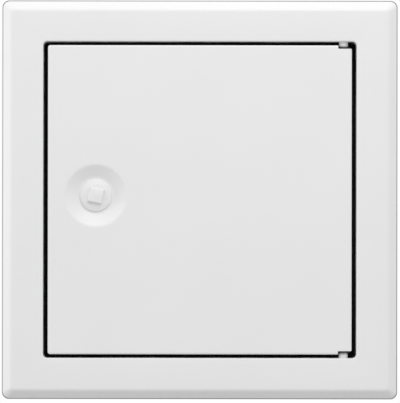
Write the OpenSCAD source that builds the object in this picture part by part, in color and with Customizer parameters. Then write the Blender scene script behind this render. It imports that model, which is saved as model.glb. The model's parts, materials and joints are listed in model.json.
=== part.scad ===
/* [Opening] */
// Clear width of the opening in the surround
opening_w = 150; // [120:1:400]
// Clear height of the opening in the surround
opening_h = 151.6; // [120:0.1:400]
// Corner radius of the opening
opening_corner_r = 2; // [1.5:0.1:3]

/* [Surround] */
// Width of the rim round the opening
rim_w = 20; // [16:0.5:40]
// Height of the rim's face above the wall
rim_h = 4.5; // [4:0.1:6]
// Run of the bevel on the rim's outer edge
bevel_run = 4.5; // [3:0.1:6]
// Bend radius between the bevel and the face
bevel_bend_r = 2; // [1.4:0.1:3]
// Corner radius of the rim in plan
rim_corner_r = 3.5; // [2:0.1:6]
// Thickness of the sheet steel
sheet_t = 0.7; // [0.6:0.05:1]
// Outer radius of the sharp bends
edge_r = 0.8; // [0.6:0.05:1.2]
// Length over which the collar laps the sleeve
lap_l = 10; // [6:0.5:14]

/* [Sleeve and stop] */
// Depth of the wall sleeve
sleeve_depth = 28; // [26:0.5:60]
// Reach of the door stop inwards from the sleeve
stop_w = 8; // [6:0.5:10]
// Clearance between the nested collar and sleeve
lap_gap = 0.05; // [0.03:0.01:0.1]
// Diameter of the side fixing holes
fixing_d = 5; // [4:0.1:6]
// Distance between the two fixing holes of one side
fixing_pitch = 90; // [60:1:100]
// Width of the foam gasket
gasket_w = 7; // [5:0.5:7.5]
// Thickness of the foam gasket
gasket_t = 2; // [1.5:0.1:3]
// Distance of the gasket from the collar wall
gasket_inset = 0.3; // [0.2:0.05:1]

/* [Door] */
// Gap at the lock side and at the hinge side
side_gap = 2.2; // [1.6:0.1:3]
// Gap at the top and bottom
end_gap = 1.75; // [1.2:0.05:2.5]
// Depth of the door pan
door_depth = 9.2; // [8:0.1:12]
// Depth of the pan's rim on the hinge side
hinge_rim_depth = 6.8; // [5.5:0.1:7]
// Corner radius of the door
door_corner_r = 1.2; // [1:0.1:2.5]
// Width of the corner relief at each hinge
relief_w = 6.5; // [6:0.1:8]
// Height of the corner relief at each hinge
relief_h = 1.6; // [1.2:0.1:2.2]
// Gap between the door's rim and the gasket
seal_gap = 0.3; // [0.2:0.05:0.6]

/* [Hinge] */
// Distance of the hinge axis from the door's edge
hinge_inset = 4; // [3.9:0.1:4.5]
// Distance of the hinge axis behind the door's face
hinge_back = 3.8; // [3.5:0.1:4]
// Diameter of the hinge pins
pin_d = 3.5; // [3:0.1:4]
// Diameter of the shoulder that spaces the door
pin_shoulder_d = 4.4; // [4.2:0.1:5.2]
// Diameter of the pin's riveted head
pin_head_d = 6; // [5:0.1:7]
// Thickness of the pin's riveted head
pin_head_t = 1.2; // [0.8:0.1:2]
// Length of pin that stands past the ear
pin_tail = 2; // [1:0.1:4]
// Diameter of the nylon washers
hinge_washer_d = 6.5; // [5.8:0.1:7]
// Thickness of the nylon washers
hinge_washer_t = 0.8; // [0.6:0.1:1.2]
// Thickness of the door's hinge ears
ear_t = 1.5; // [1.2:0.1:2]
// Width of the door's hinge ears
ear_w = 10; // [9:0.5:14]
// Height of the ear's leg behind the face
ear_leg = 12; // [8:0.5:20]
// Thickness of the frame's hinge brackets
bracket_t = 2; // [1.5:0.1:3]
// Width of the frame's hinge brackets
bracket_w = 12; // [10:0.5:16]
// Height of the bracket's leg behind the rim
bracket_leg = 9; // [6:0.5:11]
// Depth of the bracket along the collar
bracket_depth = 9; // [7.5:0.5:14]
// Inner bend radius of brackets, ears and anchors
fold_r = 0.5; // [0.3:0.1:0.8]

/* [Lock] */
// Distance of the lock axis from the door's edge
lock_inset = 23; // [21:0.5:40]
// Height of the lock axis above the door's middle
lock_rise = 2; // [-20:1:20]
// Diameter of the pressed dimple
dimple_d = 31; // [29:0.5:36]
// Depth of the pressed dimple
dimple_depth = 3; // [2.6:0.1:4.5]
// Bend radius at the dimple's brim and at its floor
dimple_bend_r = 3; // [1.5:0.1:3.4]
// Size across the flats of the square key stud
key_size = 6.8; // [6:0.1:7]
// Set-back of the key stud behind the face
key_recess = 0.1; // [0:0.05:0.5]
// Turn of the key stud away from upright
key_turn = 12; // [0:1:20]
// Turn of the key from open to locked
key_travel = 102; // [90:1:120]
// Diameter of the bush's domed front
dome_d = 15.5; // [14.5:0.1:16]
// Height of the bush's domed front
dome_h = 1.8; // [1.3:0.1:2]
// Straight edge of the dome
dome_edge = 0.6; // [0.3:0.1:0.8]
// Diameter of the bush's shank
shank_d = 12.5; // [12.2:0.1:13]
// Diameter of the spindle's front journal
journal_d = 9.8; // [9.7:0.1:10]
// Length of the spindle's front journal
journal_l = 4.4; // [3:0.1:5]
// Diameter of the spindle's rear journal
neck_d = 8; // [7.9:0.1:8.4]
// Depth of the key stud's foot below the dome
key_foot = 0.5; // [0.4:0.1:1]
// Size across the flats of the ring nut
ring_nut_af = 18; // [16:0.5:20]
// Thickness of the ring nut
ring_nut_t = 3; // [2:0.1:4]
// Height of the bush's stop rib
stop_rib_h = 1.5; // [1:0.1:2]
// Diameter of the cam's stop peg
stop_peg_d = 1; // [0.8:0.1:1.1]
// Thickness of the cam
cam_t = 2; // [1.5:0.1:3]
// Width of the cam's arm
cam_w = 11; // [8:0.5:13]
// Diameter of the cam's hub
cam_hub_d = 15; // [13.5:0.5:17]
// Length of cam behind the door stop
cam_bite = 5.5; // [3:0.5:6]
// Size across the flats of the spindle's cam square
cam_square = 5.5; // [5.2:0.1:5.5]
// Diameter of the spindle's thread
thread_d = 5; // [4:0.1:5.2]
// Diameter of the lock washer
washer_d = 12; // [10:0.5:14]
// Thickness of the lock washer
washer_t = 1; // [0.6:0.1:1.5]
// Outside diameter of the spring washer
spring_d = 8.8; // [8:0.1:9.5]
// Thickness of the spring washer
spring_t = 1.2; // [0.8:0.1:1.5]
// Size across the flats of the lock nut
nut_af = 8; // [7.5:0.5:10]
// Thickness of the lock nut
nut_t = 4; // [3:0.1:5]

/* [Wall anchors] */
// Distance between the two anchors of one side
anchor_pitch = 80; // [60:1:84]
// Width of an anchor strap
anchor_w = 20; // [18:1:24]
// Thickness of an anchor strap
anchor_t = 1.2; // [1:0.1:1.5]
// Length of strap on the sleeve
anchor_foot = 13; // [11:0.5:14]
// Reach of the strap into the wall
anchor_reach = 16; // [13:0.5:17]
// Length of the strap's split tails
tail_l = 7; // [5:0.5:8]
// Bend of the strap's split tails
tail_angle = 22; // [10:1:30]
// Diameter of the rivets
rivet_d = 3.2; // [2.4:0.1:4]
// Diameter of the rivets' heads
rivet_head_d = 5.8; // [5:0.1:7]
// Height of the rivets' heads
rivet_head_t = 1.3; // [0.8:0.1:1.6]
// Distance between the two rivets of an anchor
rivet_pitch = 10; // [9:0.5:12]

/* [Hidden] */

$fn = 64;

// Radial clearance of a turning shaft in its hole
run_fit = 0.05;
// Radial clearance of a fixed shaft in its hole
fixed_fit = 0.02;
// Clearance between flat faces that pass each other
face_gap = 0.3;
// Clearance between a flat face and its seat
seat_gap = 0.05;
// Overshoot of a cutting shape past the face that it cuts
over = 1;

powder_white = "whitesmoke";
zinc = "silver";

rim_outer_w = opening_w + 2 * rim_w;
rim_outer_h = opening_h + 2 * rim_w;
bevel_angle = atan2(rim_h, bevel_run);

// Places along Y, from the face at the front to the sleeve's back edge
face_y = -rim_h;
door_back = face_y + door_depth;
gasket_front = door_back + seal_gap;
stop_front = gasket_front + gasket_t;
stop_back = stop_front + sheet_t;
collar_back = stop_front + lap_l;
sleeve_back = stop_front + sleeve_depth;

door_w = opening_w - 2 * side_gap;
door_h = opening_h - 2 * end_gap;
sleeve_w = opening_w - 2 * lap_gap;
sleeve_h = opening_h - 2 * lap_gap;
sleeve_r = opening_corner_r - lap_gap;
stop_open_w = sleeve_w - 2 * (sheet_t + stop_w);
stop_open_h = sleeve_h - 2 * (sheet_t + stop_w);
stop_open_r = 3;
fixing_y = (collar_back + sleeve_back) / 2;

// The hinge axis is upright, and the stack of one hinge runs from the ear to the riveted head
hinge_x = door_w / 2 - hinge_inset;
hinge_y = face_y + hinge_back;
ear_top = door_h / 2 - relief_h;
washer_top = ear_top + hinge_washer_t;
collar_in = opening_h / 2;
collar_out = collar_in + sheet_t;
bracket_top = collar_out + bracket_t;
rim_end_x = hinge_x - hinge_washer_d / 2 - face_gap;
pin_tip = 0.6;
ear_setback = 0.5;

// The lock's axis runs along Y, and its stack goes from the key stud back to the nut
lock_x = -door_w / 2 + lock_inset;
dimple_floor = face_y + dimple_depth;
dimple_back = dimple_floor + sheet_t;
dome_top = dimple_floor - dome_h;
key_front = face_y + key_recess;
journal_front = dome_top + key_foot;
journal_back = journal_front + journal_l;
cam_front = stop_back + face_gap;
cam_back = cam_front + cam_t;
rib_back = cam_front - face_gap;
shank_back = rib_back - stop_rib_h;
washer_back = cam_back + washer_t;
spring_back = washer_back + spring_t;
nut_back = spring_back + nut_t;
thread_stub = 1;
thread_end = nut_back + thread_stub;
thread_tip = 0.5;
cam_l = lock_x + stop_open_w / 2 + cam_bite;
cam_tip_r = 3;
counterbore_r = journal_d / 2 + run_fit;
neck_bore_r = neck_d / 2 + run_fit;
peg_orbit_r = (shank_d / 2 + neck_bore_r) / 2;
peg_angle = asin((stop_peg_d / 2 + face_gap) / peg_orbit_r);
dimple_floor_r = dome_d / 2 + face_gap;
spring_split = 8;
// Diameter of a nut's flat end as a share of its size across the flats
nut_flat = 0.95;

anchor_setback = 1;
anchor_front = sleeve_back - anchor_setback - anchor_foot;
anchor_back = anchor_front + anchor_foot;
rivet_y = anchor_front + (anchor_foot - anchor_t) / 2;
tail_split = 1.6;

// Cut that rounds the convex corner at the origin: one side runs along -x, the other turns down by turn
module bend_cut(r, turn) {
    tangent = r * tan(turn / 2);
    difference() {
        polygon([
            [-tangent, r],
            [-tangent, -over],
            [over * tan(turn / 2), -over],
            [tangent * cos(turn) + over * sin(turn), tangent * sin(turn) - over * cos(turn)]
        ]);
        translate([-tangent, r])
            circle(r);
    }
}

module both_ways(axis) {
    children();
    mirror(axis)
        children();
}

module four_corners() {
    both_ways([1, 0])
        both_ways([0, 1])
            children();
}

module corner_cuts(w, h, r) {
    four_corners()
        translate([w / 2, -h / 2])
            bend_cut(r, 90);
}

module rounded_rect(w, h, r) {
    difference() {
        square([w, h], center = true);
        corner_cuts(w, h, r);
    }
}

// Flat shape in X and Z, as thick as the stretch of Y between front and back
module plate(front, back) {
    translate([0, back, 0])
        rotate([90, 0, 0])
            linear_extrude(back - front)
                children();
}

module along_z(l) {
    translate([0, 0, -l / 2])
        linear_extrude(l)
            children();
}

module along_x(l) {
    rotate([0, 90, 0])
        along_z(l)
            children();
}

// Bevelled section of the rim across its half width, set in by one sheet for its hollow back
module rim_section(half, inset, foot) {
    foot_u = half - inset / sin(bevel_angle) + foot / tan(bevel_angle);
    top_y = face_y + inset;
    top_u = foot_u - (foot - top_y) / tan(bevel_angle);
    difference() {
        polygon([[-foot_u, foot], [-top_u, top_y], [top_u, top_y], [foot_u, foot]]);
        both_ways([1, 0])
            translate([top_u, top_y])
                bend_cut(bevel_bend_r - inset, bevel_angle);
    }
}

module rim_block(inset, foot) {
    difference() {
        intersection() {
            along_z(rim_outer_h + over)
                rim_section(rim_outer_w / 2, inset, foot);
            along_x(rim_outer_w + over)
                rim_section(rim_outer_h / 2, inset, foot);
        }
        plate(face_y - over, foot + over)
            corner_cuts(rim_outer_w - 2 * inset, rim_outer_h - 2 * inset, rim_corner_r - inset);
    }
}

// Rounds the front edge of the opening, along its four sides and round its four corners
module mouth_cut() {
    both_ways([1, 0, 0])
        translate([opening_w / 2, face_y, 0])
            along_z(opening_h - 2 * opening_corner_r)
                mirror([1, 0])
                    bend_cut(edge_r, 90);
    both_ways([0, 0, 1])
        translate([0, face_y, opening_h / 2])
            rotate([0, -90, 0])
                along_z(opening_w - 2 * opening_corner_r)
                    mirror([1, 0])
                        bend_cut(edge_r, 90);
    both_ways([1, 0, 0])
        both_ways([0, 0, 1])
            translate([opening_w / 2 - opening_corner_r, face_y, opening_h / 2 - opening_corner_r])
                rotate([-90, -90, 0])
                    rotate_extrude(angle = 90)
                        translate([opening_corner_r, 0])
                            mirror([1, 0])
                                bend_cut(edge_r, 90);
}

// Section of an angle bent from strip: foot along x, leg along y, round outer corner at the origin
module angle_section(foot, leg, t) {
    difference() {
        union() {
            square([foot, t]);
            square([t, leg]);
            translate([t, t])
                difference() {
                    square(fold_r);
                    translate([fold_r, fold_r])
                        circle(fold_r);
                }
        }
        mirror([1, 0])
            bend_cut(fold_r + t, 90);
    }
}

// Angle with its foot along +Y and its leg along +Z
module bent_angle(w, foot, leg, t) {
    rotate([90, 0, 90])
        linear_extrude(w)
            angle_section(foot, leg, t);
}

// Domed head of a rivet or a riveted pin
module round_head(d, h) {
    ball_r = dome_radius(d / 2, h);
    rotate_extrude()
        intersection() {
            square([d / 2, h]);
            translate([0, h - ball_r])
                circle(ball_r);
        }
}

module hinge_axis() {
    translate([hinge_x, hinge_y, 0])
        children();
}

module at_bottom() {
    mirror([0, 0, 1])
        children();
}

// Pressed steel surround: bevelled hollow rim with a collar turned back round the opening
module surround() {
    color(powder_white)
        difference() {
            union() {
                difference() {
                    rim_block(0, 0);
                    rim_block(sheet_t, over);
                }
                plate(face_y, collar_back)
                    rounded_rect(opening_w + 2 * sheet_t, opening_h + 2 * sheet_t, opening_corner_r + sheet_t);
            }
            plate(face_y - over, collar_back + over)
                rounded_rect(opening_w, opening_h, opening_corner_r);
            mouth_cut();
            both_ways([0, 0, 1])
                hinge_axis()
                    translate([0, 0, collar_in - over])
                        cylinder(r = pin_d / 2 + fixed_fit, h = sheet_t + 2 * over);
        }
}

// Galvanised sleeve in the wall, with the door stop turned in at its front
module wall_sleeve() {
    color(zinc)
        difference() {
            plate(stop_front, sleeve_back)
                rounded_rect(sleeve_w, sleeve_h, sleeve_r);
            plate(stop_back, sleeve_back + over)
                rounded_rect(sleeve_w - 2 * sheet_t, sleeve_h - 2 * sheet_t, sleeve_r - sheet_t);
            plate(stop_front - over, stop_back + over)
                rounded_rect(stop_open_w, stop_open_h, stop_open_r);
            for (z = [-1, 1])
                translate([0, fixing_y, z * fixing_pitch / 2])
                    rotate([0, 90, 0])
                        cylinder(d = fixing_d, h = opening_w + 2 * over, center = true);
            both_ways([0, 0, 1])
                rivet_places()
                    translate([0, 0, -over - sheet_t])
                        cylinder(r = rivet_d / 2 + fixed_fit, h = sheet_t + 2 * over);
        }
}

module door_gasket() {
    outer_w = opening_w - 2 * gasket_inset;
    outer_h = opening_h - 2 * gasket_inset;
    color("black")
        plate(gasket_front, stop_front)
            difference() {
                rounded_rect(outer_w, outer_h, opening_corner_r);
                rounded_rect(outer_w - 2 * gasket_w, outer_h - 2 * gasket_w, stop_open_r);
            }
}

// Places of the rivets on the sleeve's upper wall, with the origin on its outer face
module rivet_places() {
    for (side = [-1, 1], i = [-1, 1])
        translate([side * anchor_pitch / 2 + i * rivet_pitch / 2, rivet_y, sleeve_h / 2])
            children();
}

// Strap riveted to the sleeve, turned out into the wall and split into a fishtail
module wall_anchor() {
    stem_l = anchor_reach - tail_l;
    color(zinc)
        translate([-anchor_pitch / 2, 0, sleeve_h / 2]) {
            difference() {
                translate([-anchor_w / 2, anchor_back, 0])
                    mirror([0, 1, 0])
                        bent_angle(anchor_w, anchor_foot, stem_l, anchor_t);
                for (i = [-1, 1])
                    translate([i * rivet_pitch / 2, rivet_y, -over])
                        cylinder(r = rivet_d / 2 + fixed_fit, h = anchor_t + 2 * over);
            }
            for (side = [-1, 1])
                translate([0, anchor_back - anchor_t / 2, stem_l - anchor_t / 2])
                    rotate([side * tail_angle, 0, 0])
                        translate([side * (anchor_w + tail_split) / 4, 0, tail_l / 2])
                            cube([(anchor_w - tail_split) / 2, anchor_t, tail_l], center = true);
        }
}

module wall_anchor_top_left() {
    wall_anchor();
}

module wall_anchor_top_right() {
    mirror([1, 0, 0])
        wall_anchor();
}

module wall_anchor_bottom_left() {
    at_bottom()
        wall_anchor();
}

module wall_anchor_bottom_right() {
    at_bottom()
        mirror([1, 0, 0])
            wall_anchor();
}

module rivet() {
    grip = anchor_t + sheet_t;
    translate([0, 0, -sheet_t])
        cylinder(d = rivet_d, h = grip);
    translate([0, 0, anchor_t])
        round_head(rivet_head_d, rivet_head_t);
    translate([0, 0, -sheet_t - rivet_head_t])
        cylinder(d = rivet_head_d, h = rivet_head_t);
}

module anchor_rivets() {
    color(zinc)
        both_ways([0, 0, 1])
            rivet_places()
                rivet();
}

// Radius of the ball whose cap has this half chord and this rise
function dome_radius(half_chord, rise) = (half_chord * half_chord + rise * rise) / (2 * rise);

// Angle bracket behind the rim that carries the riveted hinge pin, with its leg cut away beside the pin
module hinge_bracket() {
    front = face_y + sheet_t + seat_gap;
    left = hinge_x - bracket_w + pin_head_d / 2 + seat_gap;
    color(zinc)
        difference() {
            translate([left, front, collar_out])
                bent_angle(bracket_w, bracket_depth, bracket_leg, bracket_t);
            hinge_axis()
                translate([0, 0, collar_out - over])
                    cylinder(r = pin_d / 2 + fixed_fit, h = bracket_t + 2 * over);
            translate([hinge_x - pin_head_d / 2 - seat_gap, front - over, bracket_top])
                cube([bracket_w, bracket_t + fold_r + 2 * over, bracket_leg]);
        }
}

module hinge_bracket_top() {
    hinge_bracket();
}

module hinge_bracket_bottom() {
    at_bottom()
        hinge_bracket();
}

// Shouldered pin, riveted over outside the bracket, that stands into the door's ear
module hinge_pin() {
    tail_end = ear_top - ear_t - pin_tail;
    color(powder_white)
        hinge_axis() {
            translate([0, 0, tail_end])
                cylinder(d1 = pin_d - 2 * pin_tip, d2 = pin_d, h = pin_tip);
            translate([0, 0, tail_end + pin_tip])
                cylinder(d = pin_d, h = bracket_top - tail_end - pin_tip);
            translate([0, 0, washer_top + face_gap])
                cylinder(d = pin_shoulder_d, h = collar_in - washer_top - face_gap);
            translate([0, 0, bracket_top])
                round_head(pin_head_d, pin_head_t);
        }
}

module hinge_pin_top() {
    hinge_pin();
}

module hinge_pin_bottom() {
    at_bottom()
        hinge_pin();
}

// Section of the door pan across its half width, with both front edges bent round
module pan_section(half) {
    difference() {
        polygon([[-half, door_back], [-half, face_y], [half, face_y], [half, door_back]]);
        both_ways([1, 0])
            translate([half, face_y])
                bend_cut(edge_r, 90);
    }
}

module pan_block() {
    difference() {
        intersection() {
            along_z(door_h + over)
                pan_section(door_w / 2);
            along_x(door_w + over)
                pan_section(door_h / 2);
        }
        plate(face_y - over, door_back + over)
            corner_cuts(door_w, door_h, door_corner_r);
    }
}

module lock_axis() {
    translate([lock_x, 0, lock_rise])
        rotate([-90, 0, 0])
            children();
}

// Points of an arc round a centre, from one angle to another
function arc(centre, r, from, to, steps = 8) = [
    for (i = [0:steps])
        let (a = from + (to - from) * i / steps)
            [centre[0] + r * cos(a), centre[1] + r * sin(a)]
];

// Dimple wall: a cone between two equal bends, from the face down to the floor
module dimple_section() {
    run = dimple_d / 2 - dimple_floor_r;
    lift = 2 * dimple_bend_r - dimple_depth;
    slope = asin(2 * dimple_bend_r / norm([run, lift])) - atan2(lift, run);
    brim = [dimple_d / 2, face_y + dimple_bend_r];
    bowl = [dimple_floor_r, dimple_floor - dimple_bend_r];
    hole_r = shank_d / 2 + seat_gap;
    polygon(concat(
        [[brim[0] + over, face_y]],
        arc(brim, dimple_bend_r, -90, -90 - slope),
        arc(bowl, dimple_bend_r, 90 - slope, 90),
        [[hole_r, dimple_floor], [hole_r, dimple_back]],
        arc(bowl, dimple_bend_r + sheet_t, 90, 90 - slope),
        arc(brim, dimple_bend_r - sheet_t, -90 - slope, -90),
        [[brim[0] + over, face_y + sheet_t]]
    ));
}

// Pressed door: shallow pan with a dimple for the key and stepped corners at the hinges
module door_panel() {
    hinge_rim_back = face_y + hinge_rim_depth;
    inner_r = max(door_corner_r - sheet_t, seat_gap);
    color(powder_white) {
        difference() {
            pan_block();
            plate(face_y + sheet_t, door_back + over)
                rounded_rect(door_w - 2 * sheet_t, door_h - 2 * sheet_t, inner_r);
            lock_axis()
                translate([0, 0, face_y - over])
                    cylinder(d = dimple_d + over, h = sheet_t + 2 * over);
            translate([rim_end_x, hinge_rim_back, -door_h / 2 - over])
                cube([door_w / 2, door_depth, door_h + 2 * over]);
            both_ways([0, 0, 1]) {
                translate([rim_end_x, face_y + sheet_t, ear_top])
                    cube([door_w / 2, door_depth, relief_h + over]);
                translate([door_w / 2 - relief_w, face_y - over, ear_top])
                    cube([relief_w + over, door_depth + 2 * over, relief_h + over]);
            }
        }
        lock_axis()
            rotate_extrude()
                dimple_section();
    }
}

// Angle ear fixed behind the door's face, bored for the hinge pin
module hinge_ear() {
    right = door_w / 2 - sheet_t - seat_gap;
    front = face_y + sheet_t + seat_gap;
    reach = hinge_rim_depth - sheet_t - seat_gap - ear_setback;
    color(zinc)
        difference() {
            translate([right - ear_w, front, ear_top])
                at_bottom()
                    bent_angle(ear_w, reach, ear_leg, ear_t);
            hinge_axis()
                translate([0, 0, ear_top - ear_leg - over])
                    cylinder(r = pin_d / 2 + run_fit, h = ear_leg + 2 * over);
        }
}

module hinge_ear_top() {
    hinge_ear();
}

module hinge_ear_bottom() {
    at_bottom()
        hinge_ear();
}

module hinge_washer() {
    color("black")
        hinge_axis()
            translate([0, 0, ear_top])
                difference() {
                    cylinder(d = hinge_washer_d, h = hinge_washer_t);
                    translate([0, 0, -over])
                        cylinder(r = pin_d / 2 + run_fit, h = hinge_washer_t + 2 * over);
                }
}

module hinge_washer_top() {
    hinge_washer();
}

module hinge_washer_bottom() {
    at_bottom()
        hinge_washer();
}

// Fixed bush: domed front in the dimple, bored shank, and a rib at the back that stops the cam's peg
module lock_bush() {
    rise = dome_h - dome_edge;
    ball_r = dome_radius(dome_d / 2, rise);
    shoulder = journal_back + face_gap;
    open_at = key_turn - 90 + peg_angle;
    rib_turn = 360 - key_travel - 2 * peg_angle;
    color(powder_white)
        lock_axis()
            difference() {
                union() {
                    rotate_extrude()
                        intersection() {
                            translate([0, dome_top])
                                square([dome_d / 2, dome_h]);
                            translate([0, dome_top + ball_r])
                                circle(ball_r);
                        }
                    translate([0, 0, dimple_floor])
                        cylinder(d = shank_d, h = shank_back - dimple_floor);
                    rotate([0, 0, open_at])
                        rotate_extrude(angle = rib_turn)
                            translate([neck_bore_r, shank_back - over])
                                square([shank_d / 2 - neck_bore_r, stop_rib_h + over]);
                }
                translate([0, 0, dome_top - over])
                    cylinder(r = counterbore_r, h = shoulder - dome_top + over);
                translate([0, 0, dome_top])
                    cylinder(r = neck_bore_r, h = rib_back - dome_top + over);
            }
}

// Nut with its corners turned off at both ends
module hex_nut(af, bore_r, front, back) {
    corner_r = af / 2 / cos(30);
    flat_r = nut_flat * af / 2;
    slope = (corner_r - flat_r) * tan(30);
    difference() {
        intersection() {
            translate([0, 0, front])
                rotate([0, 0, 30])
                    cylinder(r = corner_r, h = back - front, $fn = 6);
            rotate_extrude()
                polygon([
                    [0, front], [flat_r, front], [corner_r, front + slope],
                    [corner_r, back - slope], [flat_r, back], [0, back]
                ]);
        }
        translate([0, 0, front - over])
            cylinder(r = bore_r, h = back - front + 2 * over);
    }
}

module lock_ring_nut() {
    color(zinc)
        lock_axis()
            hex_nut(ring_nut_af, shank_d / 2 + fixed_fit, dimple_back, dimple_back + ring_nut_t);
}

module turned_lock() {
    lock_axis()
        rotate([0, 0, key_turn])
            children();
}

// Spindle with the square key stud in front and the cam's square and thread at the back
module lock_spindle() {
    color(powder_white)
        turned_lock() {
            translate([-key_size / 2, -key_size / 2, key_front])
                cube([key_size, key_size, journal_front - key_front + over]);
            translate([0, 0, journal_front])
                cylinder(d = journal_d, h = journal_l);
            translate([0, 0, journal_back])
                cylinder(d = neck_d, h = cam_front - journal_back);
            translate([-cam_square / 2, -cam_square / 2, cam_front])
                cube([cam_square, cam_square, cam_t]);
            translate([0, 0, cam_back])
                cylinder(d = thread_d, h = thread_end - cam_back - thread_tip);
            translate([0, 0, thread_end - thread_tip])
                cylinder(d1 = thread_d, d2 = thread_d - 2 * thread_tip, h = thread_tip);
        }
}

// Flat cam that turns behind the door stop, with a peg on its front that meets the bush's rib
module lock_cam() {
    hole = cam_square + 2 * fixed_fit;
    color(zinc)
        turned_lock()
            rotate([0, 0, -90]) {
                difference() {
                    translate([0, 0, cam_front])
                        linear_extrude(cam_t)
                            union() {
                                circle(d = cam_hub_d);
                                translate([cam_l / 2, 0])
                                    rounded_rect(cam_l, cam_w, cam_tip_r);
                            }
                    translate([-hole / 2, -hole / 2, cam_front - over])
                        cube([hole, hole, cam_t + 2 * over]);
                }
                translate([peg_orbit_r, 0, shank_back + face_gap])
                    cylinder(d = stop_peg_d, h = cam_front - shank_back - face_gap);
            }
}

module lock_washer() {
    color(zinc)
        turned_lock()
            translate([0, 0, cam_back])
                difference() {
                    cylinder(d = washer_d, h = washer_t);
                    translate([0, 0, -over])
                        cylinder(r = thread_d / 2 + fixed_fit, h = washer_t + 2 * over);
                }
}

module lock_spring_washer() {
    bore_r = thread_d / 2 + fixed_fit;
    color("dimgray")
        turned_lock()
            rotate_extrude(angle = 360 - spring_split)
                translate([bore_r, washer_back])
                    square([spring_d / 2 - bore_r, spring_t]);
}

module lock_nut() {
    color(zinc)
        turned_lock()
            hex_nut(nut_af, thread_d / 2 + fixed_fit, spring_back, nut_back);
}

surround();
wall_sleeve();
door_gasket();
wall_anchor_top_left();
wall_anchor_top_right();
wall_anchor_bottom_left();
wall_anchor_bottom_right();
anchor_rivets();
hinge_bracket_top();
hinge_bracket_bottom();
hinge_pin_top();
hinge_pin_bottom();
door_panel();
hinge_ear_top();
hinge_ear_bottom();
hinge_washer_top();
hinge_washer_bottom();
lock_bush();
lock_ring_nut();
lock_spindle();
lock_cam();
lock_washer();
lock_spring_washer();
lock_nut();
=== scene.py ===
import json
from math import cos, pi, radians, sin

import bpy
import numpy as np
from mathutils import Matrix, Vector


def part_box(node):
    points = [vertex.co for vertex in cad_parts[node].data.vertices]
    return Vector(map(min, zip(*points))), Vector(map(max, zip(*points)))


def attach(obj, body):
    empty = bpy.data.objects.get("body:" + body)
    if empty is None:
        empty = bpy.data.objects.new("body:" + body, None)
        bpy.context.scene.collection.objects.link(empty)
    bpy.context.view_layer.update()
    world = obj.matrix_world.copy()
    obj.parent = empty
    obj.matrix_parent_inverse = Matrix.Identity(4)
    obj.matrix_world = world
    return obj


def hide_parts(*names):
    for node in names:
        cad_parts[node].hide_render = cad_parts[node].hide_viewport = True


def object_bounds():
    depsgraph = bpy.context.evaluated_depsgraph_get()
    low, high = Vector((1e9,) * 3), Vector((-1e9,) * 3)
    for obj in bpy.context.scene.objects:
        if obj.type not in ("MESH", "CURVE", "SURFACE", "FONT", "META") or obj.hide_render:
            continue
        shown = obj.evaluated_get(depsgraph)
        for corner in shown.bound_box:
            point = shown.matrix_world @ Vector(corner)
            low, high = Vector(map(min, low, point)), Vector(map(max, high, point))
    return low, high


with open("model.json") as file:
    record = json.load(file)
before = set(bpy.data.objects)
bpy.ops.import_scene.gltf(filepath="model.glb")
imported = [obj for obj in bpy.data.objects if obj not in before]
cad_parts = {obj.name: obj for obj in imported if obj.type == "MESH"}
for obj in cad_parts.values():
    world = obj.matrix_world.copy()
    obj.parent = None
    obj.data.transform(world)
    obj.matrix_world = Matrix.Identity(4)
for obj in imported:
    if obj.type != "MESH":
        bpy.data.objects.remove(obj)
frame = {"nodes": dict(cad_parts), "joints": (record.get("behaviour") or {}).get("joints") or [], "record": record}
cadLow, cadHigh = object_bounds()
nodes = frame["nodes"]
joints = {joint["name"]: joint for joint in frame["joints"]}
mm = 0.001  # the dictionaries below are in millimetres and degrees, Blender is in metres
mixShare, colourA, colourB, colourOut = 0, 6, 7, 2  # sockets of a Mix node that is set to colours
print("frame loaded with", len(nodes), "nodes")


def hexToLinear(code):  # sRGB hex to linear light, with alpha 1
    channels = np.array([int(code[i:i + 2], 16) for i in (1, 3, 5)]) / 255
    linear = np.where(channels <= 0.04045, channels / 12.92, ((channels + 0.055) / 1.055) ** 2.4)
    return (*linear.tolist(), 1.0)


def addNode(material, kind, settings, links=()):
    # settings name sockets first and node properties second, links are (own socket, other node, its socket)
    node = material.node_tree.nodes.new(kind)
    for key, value in settings.items():
        if isinstance(key, int) or key in node.inputs:
            node.inputs[key].default_value = value
        else:
            setattr(node, key, value)
    for socket, other, output in links:
        material.node_tree.links.new(other.outputs[output], node.inputs[socket])
    return node


def newMaterial(name):
    material = bpy.data.materials.new(name)
    material.use_nodes = True
    material.node_tree.nodes.clear()
    return material


def spacing(size):  # texture scale for features this many millimetres apart
    return 1 / (size * mm)


# White polyester powder coat, sprayed and stoved: satin, even, with a faint orange peel and no grain.
# It draws back from cut edges while it melts and is kept off the thread, so grey steel shows there
# The same grey, in a band at the surround's outer rim edge, is also painted shade: it draws a dark outline round
# the rim
powderCoat = {
    "white": "#EBEBEB", "shade": "#E7E7E7", "thinCoatAndShade": "#8A8A8A", "mottle": 38,
    "roughLow": 0.36, "roughHigh": 0.44, "roughPatch": 9, "ior": 1.5, "specular": 0.45,
    "sheet": 70, "sheetHeight": 0.05, "peel": 1.6, "peelHeight": 0.006,
}


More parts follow.
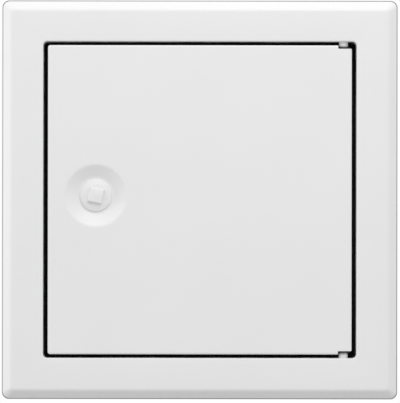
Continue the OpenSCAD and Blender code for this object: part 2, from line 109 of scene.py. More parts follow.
def makePowderCoat():
    look = powderCoat
    material = newMaterial("white powder coat on pressed steel")
    place = addNode(material, "ShaderNodeTexCoord", {})
    mottle = addNode(material, "ShaderNodeTexNoise", {"Scale": spacing(look["mottle"]), "Detail": 3.0},
                     [("Vector", place, "Object")])
    colour = addNode(material, "ShaderNodeMix", {
        "data_type": "RGBA", colourA: hexToLinear(look["shade"]), colourB: hexToLinear(look["white"]),
    }, [(mixShare, mottle, "Fac")])
    # grey share: thin or bare coat, and painted shade along the surround's outer rim edge
    edge = addNode(material, "ShaderNodeAttribute", {"attribute_name": "thinCoatAndOutlineShade"})
    colour = addNode(material, "ShaderNodeMix", {"data_type": "RGBA", colourB: hexToLinear(look["thinCoatAndShade"])},
                     [(mixShare, edge, "Fac"), (colourA, colour, colourOut)])
    patch = addNode(material, "ShaderNodeTexNoise", {"Scale": spacing(look["roughPatch"]), "Detail": 2.0},
                    [("Vector", place, "Object")])
    rough = addNode(material, "ShaderNodeMapRange", {"To Min": look["roughLow"], "To Max": look["roughHigh"]},
                    [("Value", patch, "Fac")])
    sheet = addNode(material, "ShaderNodeTexNoise", {"Scale": spacing(look["sheet"]), "Detail": 1.0},
                    [("Vector", place, "Object")])
    wave = addNode(material, "ShaderNodeBump", {"Strength": 1.0, "Distance": look["sheetHeight"] * mm},
                   [("Height", sheet, "Fac")])
    peel = addNode(material, "ShaderNodeTexNoise", {
        "Scale": spacing(look["peel"]), "Detail": 2.0, "Roughness": 0.4,
    }, [("Vector", place, "Object")])
    skin = addNode(material, "ShaderNodeBump", {"Strength": 1.0, "Distance": look["peelHeight"] * mm},
                   [("Height", peel, "Fac"), ("Normal", wave, "Normal")])
    shader = addNode(material, "ShaderNodeBsdfPrincipled", {
        "IOR": look["ior"], "Specular IOR Level": look["specular"],
    }, [("Base Color", colour, colourOut), ("Roughness", rough, "Result"), ("Normal", skin, "Normal")])
    addNode(material, "ShaderNodeOutputMaterial", {}, [("Surface", shader, "BSDF")])
    return material


# Hot-dip galvanised sheet: grey zinc crystals, each with its own sheen, under a dull film
galvanised = {
    "dark": "#9EA3A8", "light": "#C9CDD0", "spangle": 7, "warp": 3, "film": 16,
    "crystalShare": 0.55, "blendLow": 0.35, "blendHigh": 1.15,  # how crystals and film make up the colour
    "roughLow": 0.34, "roughHigh": 0.56, "grain": 0.5, "grainHeight": 0.004, "grainStrength": 0.6,
}


def makeGalvanised():
    look = galvanised
    material = newMaterial("hot-dip galvanised sheet")
    place = addNode(material, "ShaderNodeTexCoord", {})
    warp = addNode(material, "ShaderNodeTexNoise", {"Scale": spacing(look["spangle"] / 2), "Detail": 2.0},
                   [("Vector", place, "Object")])
    shift = addNode(material, "ShaderNodeVectorMath", {
        "operation": "MULTIPLY_ADD", 1: (look["warp"] * mm,) * 3,
    }, [(0, warp, "Color"), (2, place, "Object")])
    crystal = addNode(material, "ShaderNodeTexVoronoi", {"Scale": spacing(look["spangle"])},
                      [("Vector", shift, "Vector")])
    film = addNode(material, "ShaderNodeTexNoise", {"Scale": spacing(look["film"]), "Detail": 4.0},
                   [("Vector", place, "Object")])
    cell = addNode(material, "ShaderNodeSeparateColor", {}, [("Color", crystal, "Color")])
    blend = addNode(material, "ShaderNodeMath", {"operation": "MULTIPLY_ADD", 1: look["crystalShare"]},
                    [(0, cell, "Red"), (2, film, "Fac")])
    share = addNode(material, "ShaderNodeMapRange", {
        "From Min": look["blendLow"], "From Max": look["blendHigh"],
    }, [("Value", blend, 0)])
    colour = addNode(material, "ShaderNodeMix", {
        "data_type": "RGBA", colourA: hexToLinear(look["dark"]), colourB: hexToLinear(look["light"]),
    }, [(mixShare, share, "Result")])
    rough = addNode(material, "ShaderNodeMapRange", {"To Min": look["roughLow"], "To Max": look["roughHigh"]},
                    [("Value", cell, "Green")])
    grain = addNode(material, "ShaderNodeTexNoise", {"Scale": spacing(look["grain"]), "Detail": 2.0},
                    [("Vector", place, "Object")])
    skin = addNode(material, "ShaderNodeBump", {
        "Strength": look["grainStrength"], "Distance": look["grainHeight"] * mm,
    }, [("Height", grain, "Fac")])
    shader = addNode(material, "ShaderNodeBsdfPrincipled", {"Metallic": 1.0}, [
        ("Base Color", colour, colourOut), ("Roughness", rough, "Result"), ("Normal", skin, "Normal"),
    ])
    addNode(material, "ShaderNodeOutputMaterial", {}, [("Surface", shader, "BSDF")])
    return material


# Bright zinc plating on small steel parts: cool silver with fine tumbling marks
zincPlate = {
    "dark": "#B4B9BF", "light": "#DADDE0", "patch": 5, "roughLow": 0.24, "roughHigh": 0.38,
    "mark": 0.35, "markHeight": 0.003, "markStrength": 0.5,
}


def makeZincPlate():
    look = zincPlate
    material = newMaterial("bright zinc plating on steel")
    place = addNode(material, "ShaderNodeTexCoord", {})
    patch = addNode(material, "ShaderNodeTexNoise", {"Scale": spacing(look["patch"]), "Detail": 3.0},
                    [("Vector", place, "Object")])
    colour = addNode(material, "ShaderNodeMix", {
        "data_type": "RGBA", colourA: hexToLinear(look["dark"]), colourB: hexToLinear(look["light"]),
    }, [(mixShare, patch, "Fac")])
    rough = addNode(material, "ShaderNodeMapRange", {"To Min": look["roughHigh"], "To Max": look["roughLow"]},
                    [("Value", patch, "Fac")])
    mark = addNode(material, "ShaderNodeTexNoise", {"Scale": spacing(look["mark"]), "Detail": 3.0},
                   [("Vector", place, "Object")])
    skin = addNode(material, "ShaderNodeBump", {
        "Strength": look["markStrength"], "Distance": look["markHeight"] * mm,
    }, [("Height", mark, "Fac")])
    shader = addNode(material, "ShaderNodeBsdfPrincipled", {"Metallic": 1.0}, [
        ("Base Color", colour, colourOut), ("Roughness", rough, "Result"), ("Normal", skin, "Normal"),
    ])
    addNode(material, "ShaderNodeOutputMaterial", {}, [("Surface", shader, "BSDF")])
    return material


# Oil-blackened spring steel: dark, a little blue, with worn lighter patches
springSteel = {
    "dark": "#2A2B2E", "worn": "#5E6064", "patch": 2.5, "wornLow": 0.45, "wornHigh": 0.7, "roughness": 0.42,
}


def makeSpringSteel():
    look = springSteel
    material = newMaterial("oil-blackened spring steel")
    place = addNode(material, "ShaderNodeTexCoord", {})
    patch = addNode(material, "ShaderNodeTexNoise", {"Scale": spacing(look["patch"]), "Detail": 4.0},
                    [("Vector", place, "Object")])
    share = addNode(material, "ShaderNodeMapRange", {
        "From Min": look["wornLow"], "From Max": look["wornHigh"],
    }, [("Value", patch, "Fac")])
    colour = addNode(material, "ShaderNodeMix", {
        "data_type": "RGBA", colourA: hexToLinear(look["dark"]), colourB: hexToLinear(look["worn"]),
    }, [(mixShare, share, "Result")])
    shader = addNode(material, "ShaderNodeBsdfPrincipled", {"Metallic": 1.0, "Roughness": look["roughness"]},
                     [("Base Color", colour, colourOut)])
    addNode(material, "ShaderNodeOutputMaterial", {}, [("Surface", shader, "BSDF")])
    return material


# Closed-cell EPDM foam strip: black, matt, with burst cells on its cut faces, which are drawn coarser
# than real ones so that they show; each cell is darker towards its hollow, as painted shade
foam = {
    "dark": "#070708", "light": "#121213", "roughness": 0.95, "specular": 0.25,
    "cell": 0.9, "cellDepth": 0.12, "cellStrength": 0.7,
}


def makeFoam():
    look = foam
    material = newMaterial("closed-cell foam rubber")
    place = addNode(material, "ShaderNodeTexCoord", {})
    cell = addNode(material, "ShaderNodeTexVoronoi", {"Scale": spacing(look["cell"])},
                   [("Vector", place, "Object")])
    # darkest at the bottom of each cell and lighter at its rim: painted shade in the pits
    colour = addNode(material, "ShaderNodeMix", {
        "data_type": "RGBA", colourA: hexToLinear(look["dark"]), colourB: hexToLinear(look["light"]),
    }, [(mixShare, cell, "Distance")])
    skin = addNode(material, "ShaderNodeBump", {
        "Strength": look["cellStrength"], "Distance": look["cellDepth"] * mm,
    }, [("Height", cell, "Distance")])
    shader = addNode(material, "ShaderNodeBsdfPrincipled", {
        "Roughness": look["roughness"], "Specular IOR Level": look["specular"],
    }, [("Base Color", colour, colourOut), ("Normal", skin, "Normal")])
    addNode(material, "ShaderNodeOutputMaterial", {}, [("Surface", shader, "BSDF")])
    return material


# Black nylon, stamped from sheet: slightly waxy, greyer where it rubs; its black is also painted shade, drawing
# the dark line under each hinge pin's shoulder
nylon = {"black": "#111112", "rubbed": "#242425", "patch": 3, "roughness": 0.42, "ior": 1.53}


def makeNylon():
    look = nylon
    material = newMaterial("black nylon, stamped")
    place = addNode(material, "ShaderNodeTexCoord", {})
    patch = addNode(material, "ShaderNodeTexNoise", {"Scale": spacing(look["patch"]), "Detail": 2.0},
                    [("Vector", place, "Object")])
    # the black is partly the nylon's colour and partly painted shade: it draws the shadow line under each pin
    # shoulder
    colour = addNode(material, "ShaderNodeMix", {
        "data_type": "RGBA", colourA: hexToLinear(look["black"]), colourB: hexToLinear(look["rubbed"]),
    }, [(mixShare, patch, "Fac")])
    shader = addNode(material, "ShaderNodeBsdfPrincipled", {
        "Roughness": look["roughness"], "IOR": look["ior"],
    }, [("Base Color", colour, colourOut)])
    addNode(material, "ShaderNodeOutputMaterial", {}, [("Surface", shader, "BSDF")])
    return material


finishes = {
    "powder_coat": makePowderCoat(), "galvanised": makeGalvanised(), "zinc_plated": makeZincPlate(),
    "spring_steel": makeSpringSteel(), "foam_rubber": makeFoam(), "nylon": makeNylon(),
}
slotOfNode = {part["node"]: part["material_slot"] for part in frame["record"]["subparts"]}
for nodeName, nodeObject in nodes.items():
    nodeObject.data.materials.clear()
    nodeObject.data.materials.append(finishes[slotOfNode[nodeName]])
print("finishes made:", ", ".join(finishes))


def roundedCorners(points, radii, steps):
    # each corner of a closed outline becomes an arc that is tangent to both of its sides:
    # the centre lies on the bisector, and the arc's points are turned from one tangent point to the other
    corner = np.asarray(points, float)
    radius = np.asarray(radii, float)[:, None]
    back = np.roll(corner, 1, 0) - corner
    ahead = np.roll(corner, -1, 0) - corner
    back /= np.linalg.norm(back, axis=1, keepdims=True)
    ahead /= np.linalg.norm(ahead, axis=1, keepdims=True)
    half = np.arccos(np.clip((back * ahead).sum(1, keepdims=True), -1, 1)) / 2
    bisector = back + ahead
    bisector /= np.linalg.norm(bisector, axis=1, keepdims=True)
    centre = corner + bisector * radius / np.sin(half)
    first = corner + back * radius / np.tan(half) - centre
    last = corner + ahead * radius / np.tan(half) - centre
    sweep = (pi - 2 * half)[:, None]
    share = np.linspace(0, 1, steps + 1)[None, :, None]
    turned = np.sin((1 - share) * sweep) * first[:, None] + np.sin(share * sweep) * last[:, None]
    return centre[:, None] + turned / np.sin(sweep)  # corners, points on the arc, 2


def roundedRings(halfW, halfH, cornerR, steps):
    # one rounded rectangle per station: a quarter circle about each inset corner, joined by straight sides
    quarter = np.linspace(0, pi / 2, steps + 1)
    angles = np.concatenate([quarter + corner * pi / 2 for corner in range(4)])
    signX = np.repeat([1, -1, -1, 1], steps + 1)
    signZ = np.repeat([1, 1, -1, -1], steps + 1)
    width, height, radius = (np.asarray(values, float)[:, None] for values in (halfW, halfH, cornerR))
    x = signX * (width - radius) + radius * np.cos(angles)
    z = signZ * (height - radius) + radius * np.sin(angles)
    return x, z


roundSteps = 5  # faces across the small rounds of turned pieces


def arcPoints(centreR, centreY, radius, fromDegrees, toDegrees):  # arc of a profile round a centre
    angles = np.radians(np.linspace(fromDegrees, toDegrees, roundSteps + 1))
    return np.column_stack([centreR + radius * np.cos(angles), centreY + radius * np.sin(angles)])


sharpFrom = 38  # degrees, an edge that turns more than this is shaded as a crisp one


def surfaceFromGrid(name, x, y, z, slotName, body, replaced, loop, thinCoatAndShade=None):
    # rows are stations along the profile, columns run round the piece and close on themselves
    # loop joins the last row to the first, otherwise both ends get a flat cap
    # the last argument gives each row its share of the grey edge colour: thin coat, and along the surround's rim
    # edge also painted shade
    rows, columns = x.shape
    points = np.stack([x, y, z], -1).reshape(-1, 3) * mm
    index = np.arange(rows * columns).reshape(rows, columns)
    right = np.roll(index, -1, 1)
    if loop:
        faces = np.stack([index, right, np.roll(right, -1, 0), np.roll(index, -1, 0)], -1).reshape(-1, 4)
    else:
        faces = np.stack([index[:-1], right[:-1], right[1:], index[1:]], -1).reshape(-1, 4)
    corners = points[faces]
    middle = points.mean(0)
    diagonals = np.cross(corners[:, 2] - corners[:, 0], corners[:, 3] - corners[:, 1])
    inward = ((corners.mean(1) - middle) * diagonals).sum() < 0  # the sign of the enclosed volume
    polygons = faces.tolist()
    if not loop:
        polygons += [index[0, ::-1].tolist(), index[-1].tolist()]
    if inward:
        polygons = [polygon[::-1] for polygon in polygons]
    mesh = bpy.data.meshes.new(name)
    mesh.from_pydata(points.tolist(), [], polygons)
    mesh.polygons.foreach_set("use_smooth", np.ones(len(mesh.polygons), bool))
    mesh.set_sharp_from_angle(angle=radians(sharpFrom))
    mesh.materials.append(finishes[slotName])
    if thinCoatAndShade is not None:
        coat = mesh.attributes.new("thinCoatAndOutlineShade", "FLOAT", "POINT")
        coat.data.foreach_set("value", np.repeat(thinCoatAndShade, columns))
    piece = bpy.data.objects.new(name, mesh)
    bpy.context.scene.collection.objects.link(piece)
    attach(piece, body)
    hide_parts(replaced)


def boxOf(node):  # lowest and highest corner of a node, in millimetres
    low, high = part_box(node)
    return np.array(low) / mm, np.array(high) / mm


def pivotOf(joint):  # a point on the joint's axis, in millimetres
    return np.array(joints[joint]["pos_m"]) / mm


# Surround: one sheet bent into bevel, face and collar
surroundShape = {
    "rimWidth": 20, "sheet": 0.7, "bevelRun": 4.5, "bevelBend": 2.6, "mouthBend": 0.8, "edgeSoft": 0.2,
    "mouthCorner": 2.0, "mouthReach": 1.2,  # the opening's corner radius grows over this distance
    "faceCorner": 1.5, "rimCorner": 3.5,
    "thinAndShadeFull": 0.6, "thinAndShadeNone": 0.8,  # distances from the rim's edge between which the coat thins and the painted dark outline fades
    "bendSteps": 10, "cornerSteps": 12,
}


def makeSurround():
    # profile of out, the distance from the opening, and y, carried round a rectangle
    # whose corner radius follows out
    shape = surroundShape
    low, high = boxOf("surround")
    face, back = low[1], high[1]
    sheet, rim, run = shape["sheet"], shape["rimWidth"], shape["bevelRun"]
    soft, bend = shape["edgeSoft"], shape["bevelBend"]
    slope = np.arctan2(-face, run)
    under = sheet / sin(slope)
    shoulder = rim - under + (face + sheet) / np.tan(slope)
    outline = [
        (rim, 0), (rim - run, face), (0, face), (0, back), (sheet, back), (sheet, face + sheet),
        (shoulder, face + sheet), (rim - under, 0),
    ]
    radii = [soft, bend, shape["mouthBend"], soft, soft, soft, bend - sheet, soft]
    profile = roundedCorners(outline, radii, shape["bendSteps"]).reshape(-1, 2)
    fade = np.array([shape["thinAndShadeFull"], shape["thinAndShadeNone"]])
    onBevel = np.column_stack([rim - fade, -fade * np.tan(slope)])
    profile = np.insert(profile, shape["bendSteps"] + 1, onBevel, axis=0)
    out, y = profile.T
    mouth, reach = shape["mouthCorner"], shape["mouthReach"]
    cornerR = np.interp(out, [0, reach, rim - run, rim],
                        [mouth, mouth + reach, shape["faceCorner"], shape["rimCorner"]])
    x, z = roundedRings(high[0] - rim + out, high[2] - rim + out, cornerR, shape["cornerSteps"])
    # grey share along the rim's outer edge: thin coat at the cut edge, and painted shade for the rim's dark
    # outline
    thinCoatAndShade = np.interp(rim - out, fade, [1, 0])
    surfaceFromGrid("pressed_surround", x, y[:, None] + 0 * x, z, "powder_coat", "frame", "surround",
                    loop=True, thinCoatAndShade=thinCoatAndShade)


makeSurround()
print("surround made")

# Door: shallow pan pressed from one sheet, with a dimple for the key and notched corners at the hinges
doorShape = {
    "sheet": 0.7, "bend": 0.8, "fold": 0.1, "corner": 1.2, "leastCorner": 0.03,
    "notchW": 6.5, "notchH": 1.6, "notchOuter": 0.5, "notchInner": 0.3, "notchStep": 0.4,
    "cutSoft": 0.15, "edgeSoft": 0.1,  # rounds of the notches' cut edges and of the rim's end
    "hingeRim": 6.8, "rimEnd": 3.55,  # depth at the hinge side, and where the deep rim ends before the axis
    "rimCut": 0.03, "rimClear": 1,  # half the width of that end, and how far other columns keep from it
    "hole": 12.6, "floor": 16.1, "dimple": 31, "dimpleDepth": 3.0, "dimpleBend": 3.0,
    "support": 0.5,  # flat strip beside a bend, which keeps its shading clean
    "foldStart": 0.04, "foldMiddle": 0.29,  # points on the fold behind the bend, in shares of its radius
    "behindCut": (1, 2, 3, 3.5, 4, 4.5, 5),  # rows on the back of a cut edge, in multiples of edgeSoft
    "notchPlaces": (0.35, 0.65),  # points along a notch, in shares of its width
    "fan": 78, "fanStep": 3,  # columns fan out from the lock axis this far each way, at this step
    "arcSteps": 12, "bendSteps": 8, "cornerSteps": 5,
}


def dimpleProfile():
    # a cone between two equal bends: with lift = 2 bend - depth, its slope is
    # asin(2 bend / the length of run and lift) - atan(lift / run)
    shape = doorShape
    outer, floor, hole = (shape[size] / 2 for size in ("dimple", "floor", "hole"))
    depth, bend, sheet = shape["dimpleDepth"], shape["dimpleBend"], shape["sheet"]
    inner, wider, flat = bend - sheet, bend + sheet, outer + shape["support"]
    run = outer - floor
    lift = 2 * bend - depth
    slope = np.arcsin(2 * bend / np.hypot(run, lift)) - np.arctan2(lift, run)
    rising = np.linspace(0, slope, shape["arcSteps"] + 1)
    falling = rising[::-1]
    front = np.concatenate([
        [(hole, depth)],
        np.column_stack([floor + bend * np.sin(rising), depth - bend + bend * np.cos(rising)]),
        np.column_stack([outer - bend * np.sin(falling), bend - bend * np.cos(falling)]),
        [(flat, 0)],
    ])
    back = np.concatenate([
        [(flat, sheet)],
        np.column_stack([outer - inner * np.sin(rising), bend - inner * np.cos(rising)]),
        np.column_stack([floor + wider * np.sin(falling), depth - bend + wider * np.cos(falling)]),
        [(hole, depth + sheet)],
    ])
    return front, back


def makeDoor():
    # each column runs out from the dimple's hole over the face, round the bent edge, along the rim
    # and back behind; edge points lie where even angles from the lock axis meet the outline
    shape = doorShape
    low, high = boxOf("door_panel")
    halfW, halfH, face = high[0], high[2], low[1]
    lock = pivotOf("lock_turn")
    lockX, lockZ = lock[0], lock[2]
    sheet, support, rimCut = shape["sheet"], shape["support"], shape["rimCut"]
    rimEnd = pivotOf("door_hinge")[0] - shape["rimEnd"]
    lastPlace = rimEnd - shape["rimClear"]
    shelf, steps = halfH - shape["notchH"], shape["cornerSteps"]
    upright = shelf - 2 * shape["corner"]
    level = halfW - 2 * shape["corner"]
    fan = np.tan(np.radians(np.arange(-shape["fan"], shape["fan"] + 1, shape["fanStep"])))
    right = lockZ + (halfW - lockX) * fan
    top = lockX - (halfH - lockZ) * fan
    left = lockZ - (halfW + lockX) * fan
    bottom = lockX + (halfH + lockZ) * fan
    right, left = (side[abs(side) < upright] for side in (right, left))
    top, bottom = (side[(side > -level) & (side < lastPlace)] for side in (top, bottom))
    cuts = rimEnd + np.array([1, -1]) * rimCut
    notch = halfW - shape["notchW"] * np.array(shape["notchPlaces"])
    empty = np.zeros(0)
    places = [
        right, notch, empty, np.concatenate([cuts, top]),
        left, np.concatenate([bottom, cuts[::-1]]), empty, notch[::-1],
    ]
    outer, step, corner = shape["notchOuter"], shape["notchStep"], shape["corner"]
    convex = np.array([outer, outer, 0, step, corner, corner, step, 0])  # 0 at a notch's inner corner

    def outline(bentIn, cutIn):  # the door's edge, drawn in by this much where it is bent or cut
        width, height = halfW - bentIn, halfH - bentIn
        notchX, notchZ = halfW - shape["notchW"] - cutIn, shelf - cutIn
        points = [
            (width, -notchZ), (width, notchZ), (notchX, notchZ), (notchX, height),
            (-width, height), (-width, -height), (notchX, -height), (notchX, -notchZ),
        ]
        drawnIn = np.maximum(convex - max(bentIn, cutIn), shape["leastCorner"])
        arcs = roundedCorners(points, np.where(convex > 0, drawnIn, shape["notchInner"]), steps)
        parts = []
        for side, along in enumerate(places):
            fixed = np.full(len(along), points[side][side % 2])
            parts += [arcs[side], np.column_stack([along, fixed] if side % 2 else [fixed, along])]
        return np.concatenate(parts).T

    fade = np.linspace(0, 1, steps + 1)
    none, full = 0 * fade, 0 * fade + 1
    cornerCut = [1 - fade, fade, full, 1 - fade, none, none, fade, full]
    sideCut = [0, 1, 0, 0, 0, 0, 0, 1]
    cut = np.concatenate([
        np.append(atCorner, np.full(len(along), onSide))
        for atCorner, onSide, along in zip(cornerCut, sideCut, places)
    ])  # 0 where the edge is bent, 1 where it is cut
    x0, z0 = outline(0, 0)
    atHinge = (cut < 0.5) & (abs(z0) <= shelf)
    depth = np.where(x0 < rimEnd, high[1] - face, np.where(atHinge, shape["hingeRim"], sheet))
    rim = depth > 2 * sheet  # columns that have a rim behind the edge
    bend, cutSoft = shape["bend"], shape["cutSoft"]
    rows = [(bend + support, cutSoft + support, 0 * depth)]
    for angle in np.linspace(0, pi / 2, shape["bendSteps"] + 1):
        drop = ((1 - cut) * bend + cut * cutSoft) * (1 - cos(angle))
        inset = 1 - sin(angle)
        rows.append((bend * inset, cutSoft * inset, np.minimum(drop, depth - 2 * rimCut)))
    soft, fold = shape["edgeSoft"], shape["fold"]
    behind = soft * np.array(shape["behindCut"])
    start, middle = shape["foldStart"] * fold, shape["foldMiddle"] * fold
    rows += [
        (0, 0, np.where(rim, depth - soft, depth - rimCut)),
        (soft, behind[0], depth),
        (sheet - soft, behind[1], depth),
        (sheet, behind[2], np.where(rim, depth - soft, sheet)),
        (sheet + start, behind[3], np.where(rim, sheet + fold, sheet)),
        (sheet + middle, behind[4], np.where(rim, sheet + middle, sheet)),
        (sheet + fold, behind[5], sheet + 0 * depth),
        (sheet + fold + support, behind[6] + support, sheet + 0 * depth),
    ]
    edge = [(*outline(bentIn, cutIn), y) for bentIn, cutIn, y in rows]
    angles = np.arctan2(z0 - lockZ, x0 - lockX)
    front, back = (
        [(lockX + r * np.cos(angles), lockZ + r * np.sin(angles), y + 0 * angles) for r, y in ring]
        for ring in dimpleProfile()
    )
    x, z, y = (np.array([row[i] for row in front + edge + back]) for i in range(3))
    surfaceFromGrid("pressed_door", x, face + y, z, "powder_coat", "door", "door_panel", loop=True)


makeDoor()
print("door made")

# Lock bush: domed front with a bore for the spindle, a shank through the dimple and a stop rib at its back
bushShape = {
    "dome": 15.5, "rise": 1.2, "edge": 0.6, "bore": 9.82, "neck": 8.1, "shoulder": 3.4, "shank": 12.5,
    "soft": 0.55, "boreSoft": 0.02, "rib": 1.5, "ribFrom": -69.06, "ribTurn": 240.12,
    "ribCut": 0.1,  # the rib's ends fall off over this angle
    "domeSteps": 10, "ribColumns": 80, "gapColumns": 40,
}


def makeBush():
    # profile of radius and y turned about the lock axis, with its back end drawn in where no rib stands
    shape = bushShape
    floor = boxOf("door_panel")[0][1] + doorShape["dimpleDepth"]
    back = boxOf("lock_bush")[1][1]
    lock = pivotOf("lock_turn")
    dome, bore, neck, shank = (shape[size] / 2 for size in ("dome", "bore", "neck", "shank"))
    soft, boreSoft, rise = shape["soft"], shape["boreSoft"], shape["rise"]
    ball = (dome ** 2 + rise ** 2) / (2 * rise)
    top = floor - shape["edge"] - rise
    lean = np.arccos((dome - soft) / (ball - soft))  # the soft edge meets the dome at this angle
    domeR = np.linspace(bore + boreSoft, ball * cos(lean), shape["domeSteps"])
    domeY = top + ball - np.sqrt(ball ** 2 - domeR ** 2)
    edgeY = top + ball - (ball - soft) * sin(lean)
    shoulder = floor + shape["shoulder"]
    profile = np.concatenate([
        arcPoints(bore + boreSoft, domeY[0] + boreSoft, boreSoft, 180, 270)[:-1],
        np.column_stack([domeR, domeY]),
        arcPoints(dome - soft, edgeY, soft, 360 - np.degrees(lean), 360)[1:],
        [(dome, floor), (shank, floor), (shank, back), (neck, back), (neck, shoulder), (bore, shoulder)],
    ])
    rib = np.linspace(shape["ribFrom"], shape["ribFrom"] + shape["ribTurn"], shape["ribColumns"])
    gap = np.linspace(rib[-1] + shape["ribCut"], rib[0] + 360 - shape["ribCut"], shape["gapColumns"])
    angles = np.radians(np.concatenate([rib, gap]))
    shorter = np.concatenate([0 * rib, shape["rib"] + 0 * gap])
    x = lock[0] + profile[:, :1] * np.cos(angles)
    z = lock[2] - profile[:, :1] * np.sin(angles)
    y = profile[:, 1:] - np.where(profile[:, 1:] >= back, 1, 0) * shorter
    surfaceFromGrid("turned_bush", x, y, z, "powder_coat", "door", "lock_bush", loop=True)


makeBush()

# Lock spindle: square key stud, two journals, cam square and threaded end
spindleShape = {
    "key": 6.8, "keyCorner": 0.35, "keyChamfer": 0.4, "keyTurn": 12, "journal": 9.8, "journalUp": 1.3,
    "journalLength": 4.4, "neck": 8, "camSquare": 5.5, "camThickness": 2, "thread": 5, "pitch": 0.8,
    "threadDepth": 0.35, "tip": 0.5, "soft": 0.02,
    "roundShare": 0.3,  # a ring at this share of the chamfer or soft edge rounds it off
    "quarterSteps": 12, "threadStep": 0.1,
}


def makeSpindle():
    # rings of squares and circles stacked along the lock axis; the thread's radius follows
    # a triangle wave of the distance along the axis less one pitch per turn
    shape = spindleShape
    low, high = boxOf("lock_spindle")
    lock = pivotOf("lock_turn")
    front, end = low[1], high[1]
    camBack = boxOf("lock_cam")[1][1]
    camFront = camBack - shape["camThickness"]
    journalFront = boxOf("door_panel")[0][1] + doorShape["dimpleDepth"] - shape["journalUp"]
    journalBack = journalFront + shape["journalLength"]
    sizes = ("key", "journal", "neck", "camSquare", "thread")
    key, journal, neck, square, thread = (shape[size] / 2 for size in sizes)
    corner, chamfer, soft, tip = shape["keyCorner"], shape["keyChamfer"], shape["soft"], shape["tip"]
    chamferRound, softRound = shape["roundShare"] * chamfer, shape["roundShare"] * soft
    solid = np.array([  # half width, y and corner radius of each ring
        (key - chamfer, front, corner),
        (key - chamferRound, front + chamferRound, corner),
        (key, front + chamfer, corner),
        (key, journalFront - soft, corner),
        (key + soft, journalFront, corner + soft),
        (journal - soft, journalFront, journal - soft),
        (journal - softRound, journalFront + softRound, journal - softRound),
        (journal, journalFront + soft, journal),
        (journal, journalBack, journal),
        (neck, journalBack, neck),
        (neck, camFront, neck),
        (square, camFront, corner),
        (square, camBack, corner),
        (thread, camBack, thread),
    ])
    along = np.arange(camBack + shape["threadStep"], end - tip, shape["threadStep"])
    screw = np.column_stack([thread + 0 * along, along, thread + 0 * along])
    point = np.array([(thread, end - tip, thread), (thread - tip, end, thread - tip)])
    half, y, cornerR = np.concatenate([solid, screw, point]).T
    across, up = roundedRings(half, half, cornerR, shape["quarterSteps"])
    turns = np.arctan2(up, across) / (2 * pi)
    wave = abs(((y[:, None] / shape["pitch"] - turns) % 1) * 2 - 1)
    threaded = ((y > camBack) & (y <= end - tip))[:, None]
    scale = 1 - threaded * wave * shape["threadDepth"] / thread
    turn = radians(shape["keyTurn"])
    x = lock[0] + scale * (across * cos(turn) + up * sin(turn))
    z = lock[2] + scale * (up * cos(turn) - across * sin(turn))
    bare = np.where(y > camFront, 1, 0)  # the coat is kept off the thread
    surfaceFromGrid("turned_spindle", x, y[:, None] + 0 * x, z, "powder_coat", "lock", "lock_spindle",
                    loop=False, thinCoatAndShade=bare)


makeSpindle()
print("lock bush and spindle made")

# Hinge pins: shouldered, with a chamfered tip in the ear and a riveted head behind the rim
pinShape = {
    "pin": 3.5, "tip": 0.6, "shoulder": 4.4, "shoulderGap": 0.3, "soft": 0.2, "head": 6, "headRise": 1.2,
    "centre": 0.05,  # radius of the small flat where each end closes
    "domeSteps": 9, "columns": 48,
}


def makePin(end, up):
    # profile of radius and height turned about the hinge axis, mirrored for the lower pin
    shape = pinShape
    low, high = boxOf("hinge_pin_" + end)
    hinge = pivotOf("door_hinge")
    tail, crown = (low[2], high[2]) if up > 0 else (-high[2], -low[2])
    washer = boxOf("hinge_washer_" + end)
    seat = max(abs(washer[0][2]), abs(washer[1][2])) + shape["shoulderGap"]
    collar = boxOf("surround")[1][2] - surroundShape["rimWidth"]
    pin, shoulder, head = (shape[size] / 2 for size in ("pin", "shoulder", "head"))
    tip, soft, rise, centre = shape["tip"], shape["soft"], shape["headRise"], shape["centre"]
    ball = (head ** 2 + rise ** 2) / (2 * rise)
    domeR = np.linspace(head, centre, shape["domeSteps"])
    domeZ = crown - ball + np.sqrt(ball ** 2 - domeR ** 2)
    profile = np.concatenate([
        [(centre, tail), (pin - tip, tail), (pin, tail + tip), (pin, seat)],
        arcPoints(shoulder - soft, seat + soft, soft, 270, 360),
        [(shoulder, collar), (pin, collar), (pin, crown - rise)],
        np.column_stack([domeR, domeZ]),
    ])
    angles = np.linspace(0, 2 * pi, shape["columns"], endpoint=False)
    x = hinge[0] + profile[:, :1] * np.cos(angles)
    y = hinge[1] + profile[:, :1] * np.sin(angles)
    z = up * profile[:, 1:] + 0 * x
    surfaceFromGrid("hinge_pin_" + end + "_turned", x, y, z, "powder_coat", "frame", "hinge_pin_" + end,
                    loop=False)


makePin("top", 1)
makePin("bottom", -1)
print("hinge pins made")

# Gasket: foam strip with softly rounded edges, glued to the door stop
gasketShape = {
    "width": 7, "edge": 0.45, "outerCorner": 2.0, "innerCorner": 3.0, "edgeSteps": 5, "cornerSteps": 8,
}


def makeGasket():
    # rounded box section carried round the opening
    shape = gasketShape
    low, high = boxOf("door_gasket")
    width, edge = shape["width"], shape["edge"]
    outline = [(0, low[1]), (width, low[1]), (width, high[1]), (0, high[1])]
    inset, y = roundedCorners(outline, [edge] * 4, shape["edgeSteps"]).reshape(-1, 2).T
    cornerR = np.interp(inset, [0, width], [shape["outerCorner"], shape["innerCorner"]])
    x, z = roundedRings(high[0] - inset, high[2] - inset, cornerR, shape["cornerSteps"])
    surfaceFromGrid("foam_gasket", x, y[:, None] + 0 * x, z, "foam_rubber", "frame", "door_gasket", loop=True)


makeGasket()
print("gasket made")

# Camera: long lens, a little below the middle, as the photograph was taken
cameraView = {
    "pixelSize": 0.479, "frameWidth": 400, "aimX": 0.12, "aimZ": -0.82, "distance": 5000, "elevation": -0.5,
    "roll": 0.08, "sensor": 36,
}


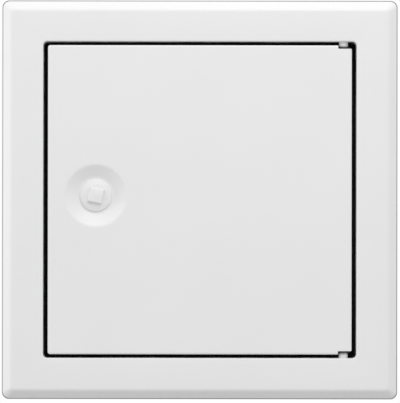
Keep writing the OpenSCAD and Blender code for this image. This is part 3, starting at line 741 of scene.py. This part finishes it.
def makeCamera():
    view = cameraView
    aim = Vector((view["aimX"], boxOf("surround")[0][1], view["aimZ"])) * mm
    elevation = radians(view["elevation"])
    back = Vector((0, -cos(elevation), sin(elevation)))
    data = bpy.data.cameras.new("camera")
    data.sensor_fit = "HORIZONTAL"
    data.sensor_width = view["sensor"]
    data.lens = view["sensor"] * view["distance"] / (view["pixelSize"] * view["frameWidth"])
    camera = bpy.data.objects.new("camera", data)
    bpy.context.scene.collection.objects.link(camera)
    place = Matrix.Translation(aim + back * view["distance"] * mm)
    turn = (-back).to_track_quat("-Z", "Y").to_matrix().to_4x4()
    camera.matrix_world = place @ turn @ Matrix.Rotation(radians(view["roll"]), 4, "Z")
    bpy.context.scene.camera = camera


makeCamera()

# Studio: even white surroundings, a soft box above in front and a larger one far out at the left
studio = {
    "white": "#FFFFFF", "surroundings": 0.973,
    "floorDrop": 150, "floorSize": 8000, "floorColour": "#BCBCBC", "floorGlow": 0.8,
    "top": {"place": (70, -470, 500), "size": 400, "watts": 1.22},
    "left": {"place": (-1500, -100, 60), "size": 600, "watts": 3.6},
}


def seenDirectly(owner):  # 1 for rays that show the background itself or its mirror image
    path = addNode(owner, "ShaderNodeLightPath", {})
    first = addNode(owner, "ShaderNodeMath", {"operation": "MAXIMUM"},
                    [(0, path, "Is Camera Ray"), (1, path, "Is Glossy Ray")])
    return addNode(owner, "ShaderNodeMath", {"operation": "MAXIMUM"},
                   [(0, first, 0), (1, path, "Is Transmission Ray")])


def makeSurroundings():
    white = hexToLinear(studio["white"])
    world = bpy.data.worlds.new("white studio")
    bpy.context.scene.world = world
    world.use_nodes = True
    world.node_tree.nodes.clear()
    lit = addNode(world, "ShaderNodeBackground", {"Color": white, "Strength": studio["surroundings"]})
    seen = addNode(world, "ShaderNodeBackground", {"Color": white, "Strength": 1.0})
    both = addNode(world, "ShaderNodeMixShader", {}, [(0, seenDirectly(world), 0), (1, lit, 0), (2, seen, 0)])
    addNode(world, "ShaderNodeOutputWorld", {}, [("Surface", both, 0)])


def makeSoftBox(side):
    lamp = studio[side]
    data = bpy.data.lights.new(side + " soft box", "AREA")
    data.shape = "SQUARE"
    data.size = lamp["size"] * mm
    data.energy = lamp["watts"]
    box = bpy.data.objects.new(side + " soft box", data)
    bpy.context.scene.collection.objects.link(box)
    box.location = Vector(lamp["place"]) * mm
    box.rotation_euler = (-box.location).to_track_quat("-Z", "Y").to_euler()  # it faces the origin


def makeFloor():
    half = studio["floorSize"] / 2 * mm
    level = cadLow[2] - studio["floorDrop"] * mm
    corners = [(-half, -half, level), (half, -half, level), (half, half, level), (-half, half, level)]
    mesh = bpy.data.meshes.new("floor")
    mesh.from_pydata(corners, [], [(0, 1, 2, 3)])
    floor = bpy.data.objects.new("floor", mesh)
    bpy.context.scene.collection.objects.link(floor)
    material = newMaterial("pale studio floor")
    share = addNode(material, "ShaderNodeMath", {"operation": "MULTIPLY", 1: studio["floorGlow"]},
                    [(0, seenDirectly(material), 0)])
    paint = addNode(material, "ShaderNodeBsdfDiffuse", {"Color": hexToLinear(studio["floorColour"])})
    glow = addNode(material, "ShaderNodeEmission", {"Color": hexToLinear(studio["white"]), "Strength": 1.0})
    both = addNode(material, "ShaderNodeMixShader", {}, [(0, share, 0), (1, paint, 0), (2, glow, 0)])
    side = addNode(material, "ShaderNodeNewGeometry", {})
    clear = addNode(material, "ShaderNodeBsdfTransparent", {})  # from below the floor hides nothing
    oneSided = addNode(material, "ShaderNodeMixShader", {},
                       [(0, side, "Backfacing"), (1, both, 0), (2, clear, 0)])
    addNode(material, "ShaderNodeOutputMaterial", {}, [("Surface", oneSided, 0)])
    mesh.materials.append(material)


makeSurroundings()
makeSoftBox("top")
makeSoftBox("left")
makeFloor()
bpy.context.scene.view_settings.view_transform = "Standard"
print("camera and studio set")
